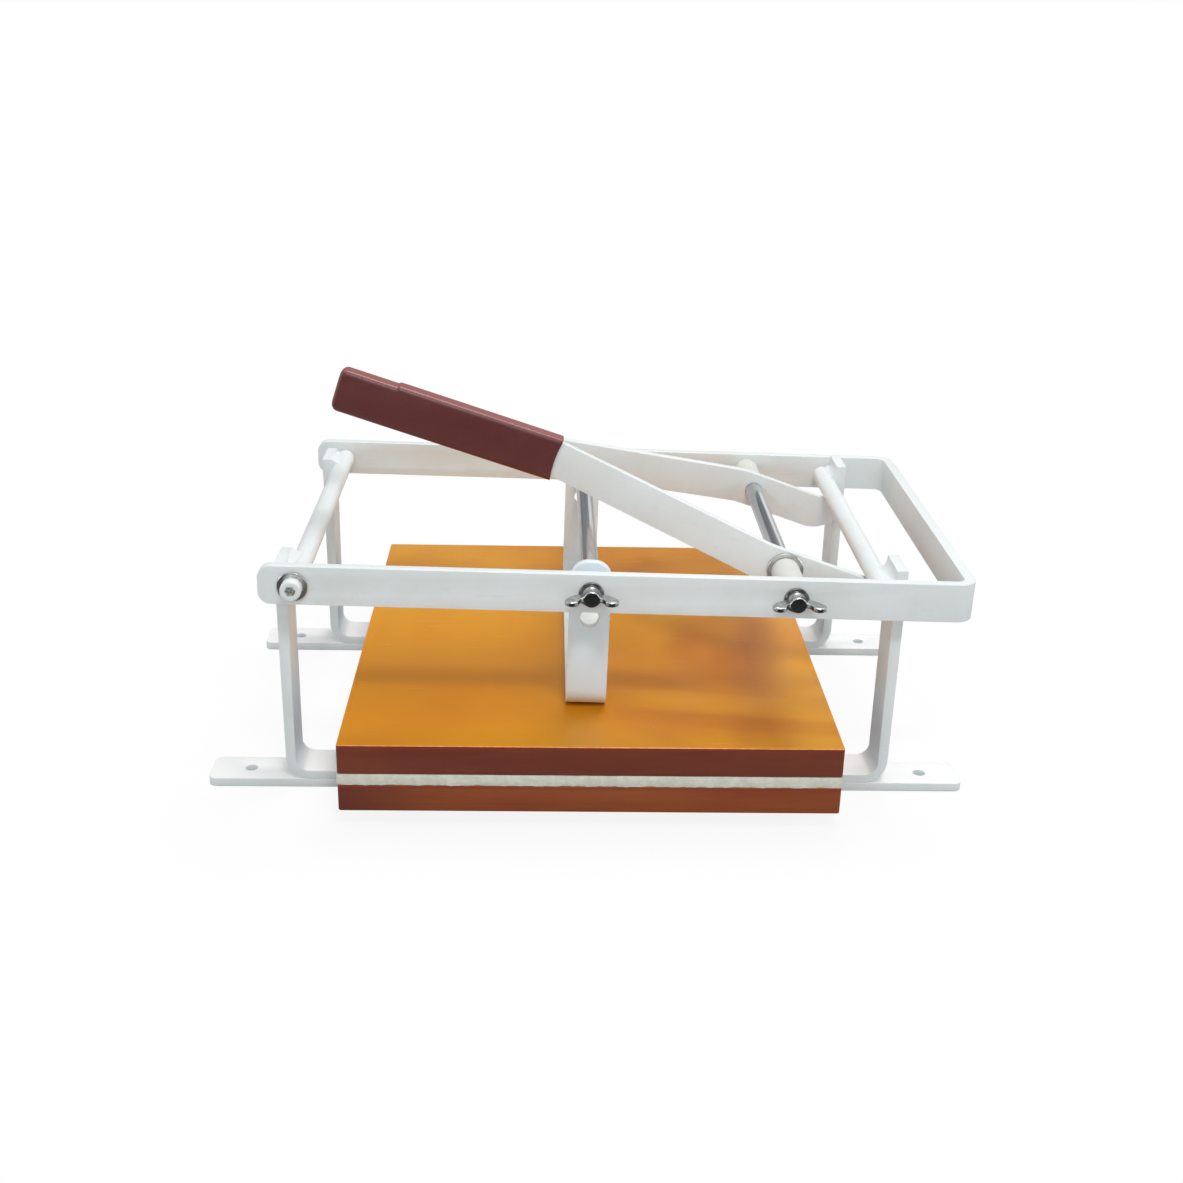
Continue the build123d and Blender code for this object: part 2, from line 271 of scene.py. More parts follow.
def board_face():
    """Amber cast sheet: smooth and glossy, with soft streaks, fine hairlines, dust specks and a lighter
    area at the right end. Painted light and shade on it: a lighter back and front strip, a painted
    highlight along the front edge, painted shadows of the lever arms, and a painted shadow band near the
    front with a painted light band behind it.
    """
    arm_shadow_place = (105 * MM, -12 * MM)
    arm_shadow_reach = (60 * MM, 80 * MM)
    band_place = -128 * MM
    band_slant = 0.13
    band_half_width = 14 * MM
    paint = new_paint("board_face")
    at = paint.place()
    streak = paint.noise(paint.stretched(at, (7.0, 2.2, 1.0)), 1.0, 4.0, 0.55)
    patch = paint.noise(at, 5.0, 3.0, 0.5)
    grain = paint.noise(paint.stretched(at, (60.0, 900.0, 60.0)), 1.0, 3.0, 0.6)
    hair = paint.noise(paint.stretched(at, (24.0, 1500.0, 24.0), (0.0, 0.0, 0.5)), 1.0, 2.0, 0.5)
    scratch = hair.step(0.7, 0.76)
    dust = 1.0 - paint.cells(at, 90.0).step(0.012, 0.03)
    dust = dust * paint.noise(at, 38.0).step(0.55, 0.62)
    x, y = paint.axes(at)[:2]
    front = 0.0 - y
    # Painted light: the back of the board is painted brighter than the front.
    back = y.step(-0.1, 0.15)
    front_tone = paint.mix(streak.step(0.3, 0.7), tone(203, 128, 10), tone(216, 143, 15))
    back_tone = paint.mix(streak.step(0.3, 0.7), tone(226, 154, 22), tone(236, 168, 32))
    base = paint.mix(back, front_tone, back_tone)
    # Painted light: a brighter strip along the front.
    base = paint.mix(front.step(0.13, 0.18) * 0.6, base, tone(224, 152, 20))
    right_half = x.step(0.0, 0.05)
    # Painted highlight along the front edge of the right half.
    edge_glow = front.step(0.148, 0.17) * right_half
    base = paint.mix(edge_glow * 0.6, base, tone(246, 180, 24))
    base = paint.mix(patch.step(0.42, 0.68) * 0.6, base, tone(192, 113, 12))
    # Painted shadows of the lever arms: darker pools and a darker oval right of the middle.
    shadow_pool = paint.noise(paint.stretched(at, (11.0, 8.0, 1.0)), 1.0, 2.0, 0.45)
    pooled_shadow = shadow_pool.step(0.45, 0.62) * x.step(-0.02, 0.06) * (1.0 - x.step(0.12, 0.15))
    across = (x - arm_shadow_place[0]) / arm_shadow_reach[0]
    along = (y - arm_shadow_place[1]) / arm_shadow_reach[1]
    arm_shadow = 1.0 - (across * across + along * along).step(0.1, 1.0)
    base = paint.mix((pooled_shadow * 0.4 + arm_shadow * 0.5).clamped(), base, tone(176, 98, 12))
    right_end = x.step(0.112, 0.14) * (0.02 - y).step(0.0, 0.1)
    base = paint.mix(right_end * 0.7, base, tone(228, 160, 44))
    # Painted shadow: a dark band near the front of the right half, with a painted light band behind it.
    wave = (y - band_place + x * band_slant) / band_half_width
    painted_shadow_band = (1.0 - wave * wave).clamped() * right_half
    base = paint.mix(painted_shadow_band * 0.4, base, tone(176, 98, 12))
    light_band_across = (wave - 1.8) / 1.3
    painted_light_band = (1.0 - light_band_across * light_band_across).clamped() * right_half
    base = paint.mix(painted_light_band * 0.35, base, tone(240, 168, 24))
    base = paint.mix(grain * 0.1, base, tone(172, 98, 14))
    base = paint.mix(dust * 0.8, base, tone(238, 214, 170))
    return paint.surface({
        "Base Color": base,
        "Roughness": 0.2 + patch * 0.08 + scratch * 0.2 + dust * 0.3,
        "Specular IOR Level": 0.3,
        "Normal": paint.bump(streak * 0.6 + scratch * 0.05 - dust * 0.02, 0.25 * MM),
    })


def board_side():
    """The sawn edge of the cast sheet: deep red brown, with fine level saw lines, darker towards the lower
    board's left end, with painted light along the top of the upper board's side and painted shadow under
    the felt along the top of the lower board's side.
    """
    felt_low = 30 * MM
    felt_high = 38 * MM
    board_top = 58 * MM
    paint = new_paint("board_side")
    at = paint.place()
    lines = paint.noise(paint.stretched(at, (6.0, 6.0, 2400.0)), 1.0, 3.0, 0.6)
    chatter = paint.noise(paint.stretched(at, (420.0, 420.0, 40.0)), 1.0, 2.0, 0.5)
    cloud = paint.noise(paint.stretched(at, (9.0, 9.0, 60.0)), 1.0, 4.0, 0.6)
    x, _, height = paint.axes(at)
    upper = height.step(felt_low, felt_high)
    dark = paint.mix(cloud.step(0.3, 0.72), tone(110, 41, 18), tone(124, 55, 28))
    light = paint.mix(cloud.step(0.3, 0.72), tone(140, 62, 20), tone(154, 78, 28))
    # Darker towards the lower board's left end.
    left_end = (0.0 - x).step(0.07, 0.165)
    light = paint.mix(left_end * 0.85, light, tone(96, 34, 18))
    base = paint.mix(upper, light, dark)
    # Painted light along the top of the upper board's side; painted shadow under the felt along the top of
    # the lower board's side.
    painted_light_upper_rim = height.step(board_top - 4 * MM, board_top - 0.5 * MM) * upper
    painted_shadow_under_felt = height.step(felt_low - 3 * MM, felt_low - 0.5 * MM) * (1.0 - upper)
    base = paint.mix((painted_light_upper_rim + painted_shadow_under_felt) * 0.7, base, tone(136, 46, 30))
    base = paint.mix(lines.step(0.45, 0.75) * 0.4, base, tone(92, 40, 28))
    return paint.surface({
        "Base Color": base,
        "Roughness": 0.38 + chatter * 0.14,
        "Specular IOR Level": 0.4,
        "Normal": paint.bump(lines * 0.5 + chatter * 0.5, 0.06 * MM),
    })


def board_rim():
    """The rounded edge round a board face, painted pale amber as a painted highlight."""
    paint = new_paint("board_rim")
    at = paint.place()
    nicks = paint.noise(at, 260.0, 3.0, 0.6)
    # Painted highlight: pale amber along the rounded edge.
    base = paint.mix(nicks.step(0.35, 0.7), tone(250, 166, 78), tone(222, 130, 56))
    return paint.surface({
        "Base Color": base,
        "Roughness": 0.3,
        "Normal": paint.bump(nicks, 0.08 * MM),
    })


def wool_felt():
    """Pressed wool: matted fibres, slightly layered, with a soft sheen."""
    paint = new_paint("wool_felt")
    at = paint.place()
    mat = paint.noise(paint.stretched(at, (700.0, 700.0, 1100.0)), 1.0, 5.0, 0.75)
    tuft = paint.noise(at, 240.0, 4.0, 0.65)
    layers = paint.noise(paint.stretched(at, (22.0, 22.0, 420.0)), 1.0, 3.0, 0.6)
    soil = paint.noise(at, 34.0, 3.0, 0.6)
    base = paint.mix(tuft.step(0.3, 0.7), tone(212, 214, 198), tone(230, 231, 217))
    base = paint.mix(layers.step(0.5, 0.75) * 0.5, base, tone(199, 203, 186))
    base = paint.mix(soil.step(0.58, 0.8) * 0.3, base, tone(196, 194, 168))
    return paint.surface({
        "Base Color": base,
        "Roughness": 0.96,
        "Specular IOR Level": 0.15,
        "Sheen Weight": 0.25,
        "Sheen Roughness": 0.6,
        "Normal": paint.bump(mat * 0.5 + tuft * 0.5, 0.5 * MM),
    })


def grip_vinyl():
    """Dipped vinyl: dark maroon, satin, with a faint pebble and long soft drips, and faces turned upwards
    painted lighter as painted light.
    """
    paint = new_paint("grip_vinyl")
    at = paint.place()
    pebble = paint.noise(at, 900.0, 2.0, 0.5)
    flow = paint.noise(paint.stretched(at, (10.0, 60.0, 60.0), (0.0, lever_tilt, 0.0)), 1.0, 3.0, 0.5)
    worn = paint.noise(at, 60.0, 4.0, 0.6)
    facing = paint.facing()
    base = paint.mix(flow.step(0.35, 0.7), tone(98, 44, 43), tone(106, 52, 50))
    base = paint.mix(worn.step(0.55, 0.8) * 0.4, base, tone(112, 58, 56))
    # Painted light: faces turned upwards are painted lighter.
    base = paint.mix(facing[2].step(0.7, 0.92), base, tone(142, 78, 76))
    return paint.surface({
        "Base Color": base,
        "Roughness": 0.33 + worn * 0.12,
        "Specular IOR Level": 0.5,
        "Normal": paint.bump(pebble * 0.25 + flow * 0.75, 0.18 * MM),
    })


def natural_nylon():
    """Off-white nylon, a little waxy, with fine turning marks."""
    paint = new_paint("natural_nylon")
    at = paint.place()
    turned = paint.noise(paint.stretched(at, (2.0, 2600.0, 2.0)), 1.0, 2.0, 0.5)
    haze = paint.noise(at, 120.0, 3.0, 0.5)
    base = paint.mix(haze, tone(220, 222, 214), tone(210, 212, 203))
    return paint.surface({
        "Base Color": base,
        "Roughness": 0.42 + turned * 0.08,
        "Subsurface Weight": 0.15,
        "Subsurface Radius": (0.004, 0.004, 0.003),
        "Subsurface Scale": 0.5,
        "Normal": paint.bump(turned, 0.03 * MM),
    })


def polished_steel():
    """Ground and polished round bar: fine streaks along Y, a soft grey gleam."""
    paint = new_paint("polished_steel")
    at = paint.place()
    streak = paint.noise(paint.stretched(at, (900.0, 9.0, 900.0)), 1.0, 3.0, 0.6)
    band = paint.noise(paint.stretched(at, (260.0, 4.0, 260.0)), 1.0, 2.0, 0.5)
    base = paint.mix(band.step(0.35, 0.68), tone(186, 190, 197), tone(222, 225, 229))
    base = paint.mix(streak.step(0.5, 0.8) * 0.5, base, tone(150, 154, 162))
    return paint.surface({
        "Base Color": base,
        "Metallic": 1.0,
        "Roughness": 0.1 + streak * 0.1,
        "Normal": paint.bump(streak * 0.4 + band * 0.6, 0.006 * MM),
    })


def bright_metal(name, colour, rough, marks, depth, grime=tone(150, 152, 154), painted_shade_below=False):
    """Plated steel with turning marks round Y and faint smudges. A casting also gets dark speckles and
    painted shade: faces turned down or seen end on are painted nearly black.
    """
    paint = new_paint(name)
    at = paint.place()
    turned = paint.noise(paint.stretched(at, (3.0, marks, 3.0)), 1.0, 2.0, 0.6)
    smudge = paint.noise(at, 160.0, 4.0, 0.6)
    base = paint.mix(smudge.step(0.4, 0.75) * 0.5, colour, grime)
    if painted_shade_below:
        facing = paint.facing()
        # Painted shade: faces turned down and faces seen end on are painted nearly black.
        below = (0.0 - facing[2]).step(-0.1, 0.35)
        end_on = facing[1].size().step(0.85, 0.98)
        speckle = paint.noise(at, 520.0, 3.0, 0.7).step(0.46, 0.6)
        base = paint.mix(speckle * 0.45, base, tone(84, 87, 86))
        base = paint.mix((below * 0.92 + end_on * 0.5).clamped(), base, tone(34, 34, 34))
    return paint.surface({
        "Base Color": base,
        "Metallic": 1.0,
        "Roughness": rough + smudge * 0.08 + turned * 0.05,
        "Normal": paint.bump(turned * 0.6 + smudge * 0.4, depth),
    })


white = powder_white()
socket_shade = socket_shade_paint()
amber = board_face()
sawn = board_side()
rim = board_rim()
felt_paint = wool_felt()
vinyl = grip_vinyl()
nylon = natural_nylon()
shaft_steel = polished_steel()
chrome = bright_metal("bright_chrome", tone(206, 208, 205), 0.2, 900.0, 0.14 * MM, tone(24, 25, 25))
cast_chrome = bright_metal("cast_chrome", tone(206, 207, 206), 0.13, 60.0, 0.02 * MM, painted_shade_below=True)
zinc = bright_metal("bright_zinc", tone(128, 130, 127), 0.22, 2400.0, 0.02 * MM)


# Mesh helpers


def piece_from(name, mesh):
    made = bpy.data.objects.new(name, mesh)
    bpy.context.scene.collection.objects.link(made)
    return made


def painted(piece, paints):
    piece.data.materials.clear()
    for each in paints:
        piece.data.materials.append(each)
    return piece


def smoothed(piece, crease=35.0):
    """Smooth shading, with creases kept sharp."""
    piece.data.shade_smooth()
    piece.data.set_sharp_from_angle(angle=radians(crease))
    return piece


def settled(piece):
    """The piece with its modifiers worked into a plain mesh."""
    depsgraph = bpy.context.evaluated_depsgraph_get()
    final = bpy.data.meshes.new_from_object(piece.evaluated_get(depsgraph))
    piece.modifiers.clear()
    piece.data = final
    final.name = piece.name
    return piece


def from_points(name, points, faces):
    """A mesh piece with doubled points merged and its faces turned outwards."""
    mesh = bpy.data.meshes.new(name)
    mesh.from_pydata([tuple(p) for p in points], [], faces)
    form = bmesh.new()
    form.from_mesh(mesh)
    bmesh.ops.remove_doubles(form, verts=form.verts, dist=1e-7)
    bmesh.ops.recalc_face_normals(form, faces=form.faces)
    form.to_mesh(mesh)
    form.free()
    return piece_from(name, mesh)


def grid_faces(rows, columns, closed_rows=False, closed_columns=True):
    """Quads between rows of points that all have the same number of columns."""
    faces = []
    for row in range(rows if closed_rows else rows - 1):
        after = (row + 1) % rows
        for column in range(columns if closed_columns else columns - 1):
            beside = (column + 1) % columns
            faces.append((
                row * columns + column,
                row * columns + beside,
                after * columns + beside,
                after * columns + column,
            ))
    return faces


def lathe(name, at, outline, paint, closed=True):
    """A piece turned about an axis along Y through at, from (radius, y) pairs in metres."""
    points = []
    for step in range(round_steps):
        angle = 2 * pi * step / round_steps
        for radius, y in outline:
            points.append((at.x + radius * cos(angle), y, at.z + radius * sin(angle)))
    faces = grid_faces(round_steps, len(outline), closed_rows=True, closed_columns=closed)
    return smoothed(painted(from_points(name, points, faces), [paint]))


def ring_outline(bore, radius, start, stop, edge):
    """The outline of a washer, bush or spacer with broken edges."""
    low, high = sorted((start, stop))
    return [
        (bore, low + edge),
        (bore + edge, low),
        (radius - edge, low),
        (radius, low + edge),
        (radius, high - edge),
        (radius - edge, high),
        (bore + edge, high),
        (bore, high - edge),
    ]


def softened(node, edge, paint, body, reshape=None):
    """A solid again, with its sharp edges rounded over as paint leaves them."""
    mesh = nodes[node].data.copy()
    for vert in mesh.vertices:
        if reshape:
            reshape(vert.co)
    form = bmesh.new()
    form.from_mesh(mesh)
    bmesh.ops.remove_doubles(form, verts=form.verts, dist=1e-6)
    bmesh.ops.dissolve_limit(form, angle_limit=radians(0.4), verts=form.verts, edges=form.edges)
    form.to_mesh(mesh)
    form.free()
    piece = painted(piece_from(node + "_painted", mesh), [paint])
    rounding = piece.modifiers.new("edges", "BEVEL")
    rounding.width = edge
    rounding.segments = edge_steps
    rounding.limit_method = "ANGLE"
    rounding.angle_limit = radians(40.0)
    rounding.harden_normals = True
    piece.data.shade_smooth()
    piece = smoothed(settled(piece), 30.0)
    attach(piece, body)
    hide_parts(node)
    return piece


# Painted steel

leg_thick = 6.0 * MM
leg_swell_out = 0.7 * MM
leg_swell_in = 0.6 * MM
leg_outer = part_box("front_bracket")[1].x
face_tolerance = 0.1 * MM


def fuller_leg(at):
    """The legs are a little thicker than the bracket's floor, so their faces part above the bend."""
    share = ease(at.z, 14 * MM, 30 * MM)
    outer = abs(abs(at.x) - leg_outer) < face_tolerance
    inner = abs(abs(at.x) - leg_outer + leg_thick) < face_tolerance
    move = leg_swell_out if outer else -leg_swell_in if inner else 0.0
    at.x += share * move * (1 if at.x > 0 else -1)


def shade_painted_socket(screw):
    """The hexagon socket of a pivot screw gets painted shade."""
    screw.data.materials.append(socket_shade)
    head_end = max(abs(vert.co.y) for vert in screw.data.vertices)
    socket_reach = 3.6 * MM
    socket_mouth = 0.25 * MM
    socket_depth = 6 * MM
    # Faces inside the socket take the painted shade.
    for face in screw.data.polygons:
        at = face.center
        inside = hypot(at.x - pivot.x, at.z - pivot.z) < socket_reach
        if inside and socket_mouth < head_end - abs(at.y) < socket_depth:
            face.material_index = 1


def make_bars():
    for side in ("front", "rear"):
        softened(side + "_foot_bar", bracket_edge, white, "base")
        softened(side + "_bracket", bracket_edge, white, "base", fuller_leg)
        softened(side + "_lever_arm", bar_edge, white, "lever")
        shade_painted_socket(softened(side + "_pivot_screw", small_edge, white, "base"))
    softened("swing_frame", bar_edge, white, "swing_frame")
    softened("pressing_foot", bar_edge, white, "pressing_foot")


def rod_outline(radius, half, edge):
    return [(0, -half), (radius - edge, -half), (radius, -half + edge),
            (radius, half - edge), (radius - edge, half), (0, half)]


def make_cross_rods():
    for side, edge in rod_edges.items():
        node = side + "_cross_rod"
        low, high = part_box(node)
        middle = (low + high) / 2
        outline = rod_outline((high.x - low.x) / 2, (high.y - low.y) / 2, edge)
        rod = lathe(node + "_painted", middle, outline, white, closed=False)
        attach(rod, "base")
        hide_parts(node)


def bead_section(reach, climb, sink, flat):
    """A weld's outline in the notch of rod and leg: a hollow or flat face, then its hidden back."""
    face = []
    steps = 12
    hidden = 0.6 * MM
    for step in range(steps + 1):
        turn = pi / 2 * step / steps
        share = step / steps
        across = reach * ((1 - flat) * (1 - sin(turn)) + flat * (1 - share)) + sink * 0.7
        up = climb * ((1 - flat) * (1 - cos(turn)) + flat * share) - sink * 0.7
        face.append((across, up))
    back = [(-hidden, climb * 0.9), (-hidden, -reach * 0.7), (reach * 0.5, -reach * 0.45)]
    return face + back


def bead_share(inwards):
    """How much of its full size a weld has, from the legs' inner edge (0) to their outer edge (1)."""
    start = 0.85 + 0.15 * ease(inwards, 0.0, 0.05)
    return start * (1.0 - 0.75 * ease(inwards, 0.3, 1.0))


def make_welds():
    """Hollow welds that climb from rods to legs' tops, full inside and low at the rods' ends."""
    edge_inset = 0.15 * MM
    both_insets = 0.55 * MM
    reach_inset = 0.5 * MM
    climb_inset = 0.2 * MM
    ripple_depth = 0.08 * MM
    grain_depth = 0.05 * MM
    low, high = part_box("front_bracket")
    leg_face = high.x - leg_thick - leg_swell_in
    inner_edge = min(abs(low.y), abs(high.y)) + edge_inset
    length = high.y - low.y - both_insets
    pool_length = 3.4 * MM
    rows = 60
    points = []
    faces = []
    rng = random.Random(4)
    for side, node, flat in ((-1, "left_cross_rod", 0.75), (1, "right_cross_rod", 0.1)):
        rod_low, rod_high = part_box(node)
        reach = leg_face - abs(rod_low.x + rod_high.x) / 2 - reach_inset
        climb = high.z - rod_high.z - climb_inset
        for sign in (-1, 1):
            start = len(points)
            phase = rng.random() * 2 * pi
            for row in range(rows + 1):
                share = row / rows
                ripple = sin(share * length / pool_length * 2 * pi + phase)
                sink = ripple_depth * ripple + grain_depth * rng.random()
                full = bead_share(share)
                section = bead_section(reach * (0.45 + 0.55 * full), climb * full, -sink, flat)
                for across, up in section:
                    y = sign * (inner_edge + share * length)
                    points.append((side * (leg_face - across), y, rod_high.z + up))
            count = len(section)
            faces += [tuple(start + i for i in face) for face in grid_faces(rows + 1, count)]
            faces.append(tuple(start + i for i in range(count)))
            faces.append(tuple(start + rows * count + i for i in range(count)))
    beads = smoothed(painted(from_points("weld_beads", points, faces), [white]), 50.0)
    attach(beads, "base")
    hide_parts("rod_welds")


# Shafts, washers and spacers


def make_shafts():
    for node, at in (("foot_shaft", foot_shaft), ("lever_shaft", lever_shaft)):
        low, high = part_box(node)
        outline = rod_outline((high.x - low.x) / 2, (high.y - low.y) / 2, shaft_edge)
        shaft = lathe(node + "_polished", at, outline, shaft_steel, closed=False)
        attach(shaft, "swing_frame")
        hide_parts(node)


def make_ring(node, at, bore, edge, paint, body):
    """A washer, bush or spacer as wide and as thick as its solid."""
    low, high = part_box(node)
    radius = (high.z - low.z) / 2
    ring = lathe(node + "_turned", at, ring_outline(bore, radius, low.y, high.y, edge), paint)
    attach(ring, body)
    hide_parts(node)


def make_rings():
    screw_bore = 4.2 * MM
    shaft_bore = 6.05 * MM
    for side in ("front", "rear"):
        make_ring(side + "_pivot_washer", pivot, screw_bore, 0.3 * MM, chrome, "base")
        make_ring(side + "_pivot_bush", pivot, screw_bore, 0.2 * MM, zinc, "base")
        make_ring(side + "_lever_washer", lever_shaft, shaft_bore, 0.35 * MM, chrome,
                  "swing_frame")
        make_ring(side + "_lever_spacer", lever_shaft, shaft_bore, 0.6 * MM, nylon,
                  "swing_frame")


def make_wing_washers():
    """The four washers below the wing bolts, in one mesh as their solids are in one node."""
    low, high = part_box("wing_washers")
    thick = 1.6 * MM
    radius = 8.0 * MM
    bore = 4.2 * MM
    rings = []
    for at in (foot_shaft, lever_shaft):
        for start in (low.y, high.y - thick):
            outline = ring_outline(bore, radius, start, start + thick, small_edge)
            rings.append(lathe("wing_washer", at, outline, zinc))
    form = bmesh.new()
    for ring in rings:
        form.from_mesh(ring.data)
        bpy.data.objects.remove(ring)
    mesh = bpy.data.meshes.new("wing_washers_turned")
    form.to_mesh(mesh)
    form.free()
    piece = smoothed(painted(piece_from("wing_washers_turned", mesh), [zinc]))
    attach(piece, "swing_frame")
    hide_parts("wing_washers")


# Wing bolts


def wing_outline(steps=18):
    """The plan of one wing, (outwards, forwards) in millimetres: a waisted neck and a round lobe."""
    root = Vector((1.0, 4.0))
    bend = Vector((9.2, 4.6))
    lobe = Vector((12.3, 12.3))
    root_half_width = 3.7
    waist = 0.4
    lobe_growth = 0.7
    tip_steps = 14
    front = []
    back = []
    for step in range(steps + 1):
        t = step / steps
        at = root * (1 - t) ** 2 + bend * 2 * t * (1 - t) + lobe * t**2
        along = ((bend - root) * (1 - t) + (lobe - bend) * t).normalized()
        half_width = root_half_width - waist * sin(pi * min(t / 0.9, 1.0)) + lobe_growth * t**2
        across = Vector((-along.y, along.x)) * half_width
        front.append(at + across)
        back.append(at - across)
    heading = atan2(along.y, along.x)
    tip = []
    for step in range(1, tip_steps):
        angle = heading - pi / 2 + pi * step / tip_steps
        tip.append(lobe + Vector((cos(angle), sin(angle))) * half_width)
    return [(p.x, p.y) for p in back + tip + front[::-1]]


def wing_bolt_form():
    """One wing bolt's head and stem, its seat at the origin and its end towards -Y, as a mesh."""
    hub_outline = [(0, 0.1), (5.9, 0.1), (6.2, -0.3), (6.0, -1.4), (5.5, -3.0), (5.2, -5.0),
                   (5.15, -8.0), (4.9, -8.45), (4.6, -8.6), (0, -8.6)]
    hub_outline = [(radius * MM, y * MM) for radius, y in hub_outline]
    hub = lathe("hub", Vector((0, 0, 0)), hub_outline, cast_chrome, closed=False)
    outline = wing_outline()
    middle = Vector((9.0, 8.0))
    thick = 3.1
    form = bmesh.new()
    form.from_mesh(hub.data)
    bpy.data.objects.remove(hub)
    for side in (-1, 1):
        loops = []
        for level, shrink in ((-0.5, 0.93), (-0.32, 1.0), (0.32, 1.0), (0.5, 0.93)):
            loop = []
            for x, y in outline:
                at = middle + (Vector((x, y)) - middle) * shrink
                loop.append(form.verts.new((side * at.x * MM, -at.y * MM, level * thick * MM)))
            loops.append(loop)
        for lower, upper in zip(loops, loops[1:]):
            for i in range(len(lower)):
                j = (i + 1) % len(lower)
                form.faces.new((lower[i], lower[j], upper[j], upper[i]))
        form.faces.new(loops[0])
        form.faces.new(loops[-1])
    bmesh.ops.recalc_face_normals(form, faces=form.faces)
    mesh = bpy.data.meshes.new("wing_bolt_form")
    form.to_mesh(mesh)
    form.free()
    piece = piece_from("wing_bolt_form", mesh)
    skin = piece.modifiers.new("skin", "REMESH")
    skin.mode = "VOXEL"
    skin.voxel_size = 0.2 * MM
    relax = piece.modifiers.new("relax", "SMOOTH")
    relax.factor = 0.6
    relax.iterations = 5
    piece = settled(piece)
    mesh = piece.data.copy()
    bpy.data.objects.remove(piece)
    return mesh


def make_wing_bolts():
    wing_reach = 16.5 * MM
    form = wing_bolt_form()
    for where, at in (("foot", foot_shaft), ("lever", lever_shaft)):
        for side, sign in (("front", -1), ("rear", 1)):
            node = f"{side}_{where}_wing_bolt"
            low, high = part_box(node)
            wing_end = high.y if sign > 0 else low.y
            seat = wing_end - sign * wing_reach
            turn = Matrix.Identity(4) if sign < 0 else Matrix.Rotation(pi, 4, "Z")
            mesh = form.copy()
            mesh.transform(Matrix.Translation((at.x, seat, at.z)) @ turn)
            piece = painted(piece_from(node + "_cast", mesh), [cast_chrome])
            piece.data.shade_smooth()
            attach(piece, node)
            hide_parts(node)


# Grip

grip_start = 157.0 * MM
grip_length = 157.0 * MM
grip_top = 14.25 * MM
grip_bottom = -16.25 * MM
grip_half_width = 8.0 * MM
grip_corner = 3.4 * MM
grip_end_corner = 5.0 * MM
grip_step_from_end = 40.0 * MM
grip_step = 1.1 * MM
grip_mouth_hollow = 1.6 * MM
arm_half_height = 12.5 * MM
arm_thick = 6.0 * MM
arm_flare = 0.6 * MM
mouth_gap = 0.05 * MM
mouth_corner = 0.9 * MM
mouth_lead = 0.1 * MM
mouth_depth = 12 * MM


def rounded_loop(half_width, low, high, corner, steps=7):
    """Points round a rectangle with round corners, as (y, z) pairs."""
    corner = min(corner, half_width * 0.98, (high - low) * 0.49)
    centres = (
        (half_width - corner, high - corner, 0.0),
        (corner - half_width, high - corner, 0.5),
        (corner - half_width, low + corner, 1.0),
        (half_width - corner, low + corner, 1.5),
    )
    points = []
    for y, z, quarter in centres:
        for step in range(steps + 1):
            angle = pi * (quarter + 0.5 * step / steps)
            points.append((y + corner * cos(angle), z + corner * sin(angle)))
    side_points = []
    for i, (y, z) in enumerate(points):
        side_points.append((y, z))
        if (i + 1) % (steps + 1) == 0:
            next_y, next_z = points[(i + 1) % len(points)]
            for share in (0.2, 0.4, 0.6, 0.8):
                side_points.append((y + (next_y - y) * share, z + (next_z - z) * share))
    return side_points


def ease(value, low, high):
    share = min(max((value - low) / (high - low), 0.0), 1.0)
    return share * share * (3 - 2 * share)


def mouth_hollow(z):
    """How far the mouth is hollowed at this height of its end."""
    middle = (grip_top + grip_bottom) / 2
    reach = min(abs(z - middle) / (grip_top - middle), 1.0)
    return grip_mouth_hollow * (1 - reach**2)


def grip_row(along):
    """The grip's section at this distance from the lever shaft, as a loop of (y, z)."""
    far_end = grip_start + grip_length
    left = far_end - along
    round_off = grip_end_corner - sqrt(max(grip_end_corner**2 - max(grip_end_corner - left, 0) ** 2, 0))
    side_round = 3.2 * MM
    step_half = 0.8 * MM
    step_at = far_end - grip_step_from_end
    side_off = side_round - sqrt(max(side_round**2 - max(side_round - left, 0) ** 2, 0))
    step_drop = grip_step * ease(along, step_at - step_half, step_at + step_half)
    swell = 0.25 * MM * sin(pi * (along - grip_start) / grip_length)
    high = grip_top - step_drop - round_off
    low = grip_bottom + round_off
    return rounded_loop(grip_half_width + swell - side_off, low, high, grip_corner)


